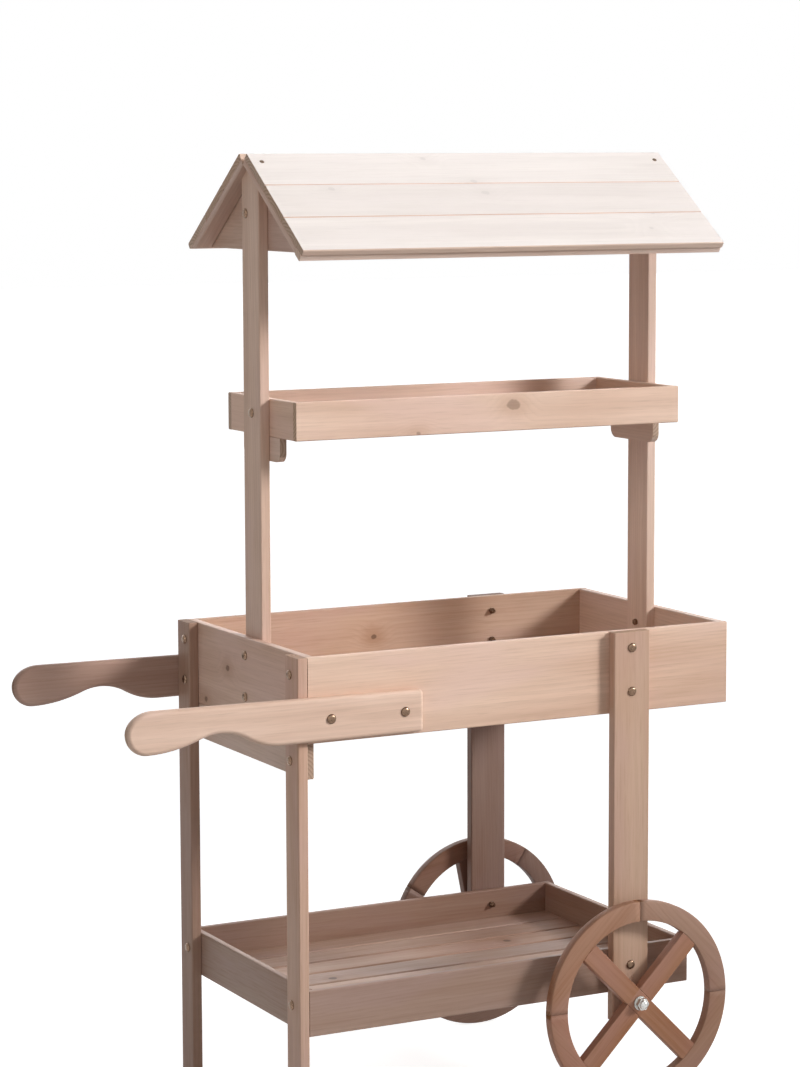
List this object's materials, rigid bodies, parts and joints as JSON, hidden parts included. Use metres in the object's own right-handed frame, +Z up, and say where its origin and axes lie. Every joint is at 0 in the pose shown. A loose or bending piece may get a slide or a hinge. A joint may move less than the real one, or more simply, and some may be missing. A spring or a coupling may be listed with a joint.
{
  "type": "flower cart stand",
  "caption": "Wooden flower cart stand: a deep tray on legs, a slatted tray below, a shelf and gabled roof on posts above, handles at one end and spoked wheels at the other.",
  "frame": {"origin": "on the floor, under the middle of the cart's overall length and depth", "axes": "+Z up; +X along the cart from the handles towards the wheels; +Y across it from the front, where the roof has its eave strip, towards the rear"},
  "size_m": [1.1229, 0.6082, 1.606],
  "materials": {
    "timber": "sawn and lightly sanded softwood, clear matt finish",
    "bolt_steel": "bronzed, satin",
    "axle_steel": "zinc plated, satin",
    "bush_nylon": "matt"
  },
  "bodies": {
    "cart": {"apron": "timber", "axle_nuts": "axle_steel", "axle_rod": "axle_steel", "axle_spacers": "axle_steel", "axle_washers": "axle_steel", "bolt_nuts": "bolt_steel", "eave_strip": "timber", "foot_leg_bolts": "bolt_steel", "foot_leg_front": "timber", "foot_leg_rear": "timber", "gable_panel_left": "timber", "gable_panel_right": "timber", "handle_bolts": "bolt_steel", "handle_front": "timber", "handle_rear": "timber", "lower_bearers": "timber", "lower_board_front": "timber", "lower_board_rear": "timber", "lower_end_left": "timber", "lower_end_right": "timber", "lower_slats": "timber", "post_bolts": "bolt_steel", "post_left": "timber", "post_right": "timber", "rafter_front_left": "timber", "rafter_front_right": "timber", "rafter_rear_left": "timber", "rafter_rear_right": "timber", "roof_plank_front_1": "timber", "roof_plank_front_2": "timber", "roof_plank_front_3": "timber", "roof_plank_rear_1": "timber", "roof_plank_rear_2": "timber", "roof_plank_rear_3": "timber", "shelf_board_front": "timber", "shelf_board_rear": "timber", "shelf_cleat_left": "timber", "shelf_cleat_right": "timber", "shelf_end_left": "timber", "shelf_end_right": "timber", "shelf_slats": "timber", "tray_bearers": "timber", "tray_board_front": "timber", "tray_board_rear": "timber", "tray_end_left": "timber", "tray_end_right": "timber", "tray_slats": "timber", "wheel_leg_bolts": "bolt_steel", "wheel_leg_front": "timber", "wheel_leg_rear": "timber"},
    "wheel_front": {"wheel_bush_front": "bush_nylon", "wheel_rim_front": "timber", "wheel_spokes_front": "timber"},
    "wheel_rear": {"wheel_bush_rear": "bush_nylon", "wheel_rim_rear": "timber", "wheel_spokes_rear": "timber"}
  },
  "joints": [
    {"name": "front_wheel_spin", "type": "hinge", "parent": "cart", "child": "wheel_front", "pos_m": [0.3555, -0.2768, 0.175], "axis": [0, 1, 0], "continuous": true},
    {"name": "rear_wheel_spin", "type": "hinge", "parent": "cart", "child": "wheel_rear", "pos_m": [0.3555, 0.2768, 0.175], "axis": [0, 1, 0], "continuous": true}
  ]
}
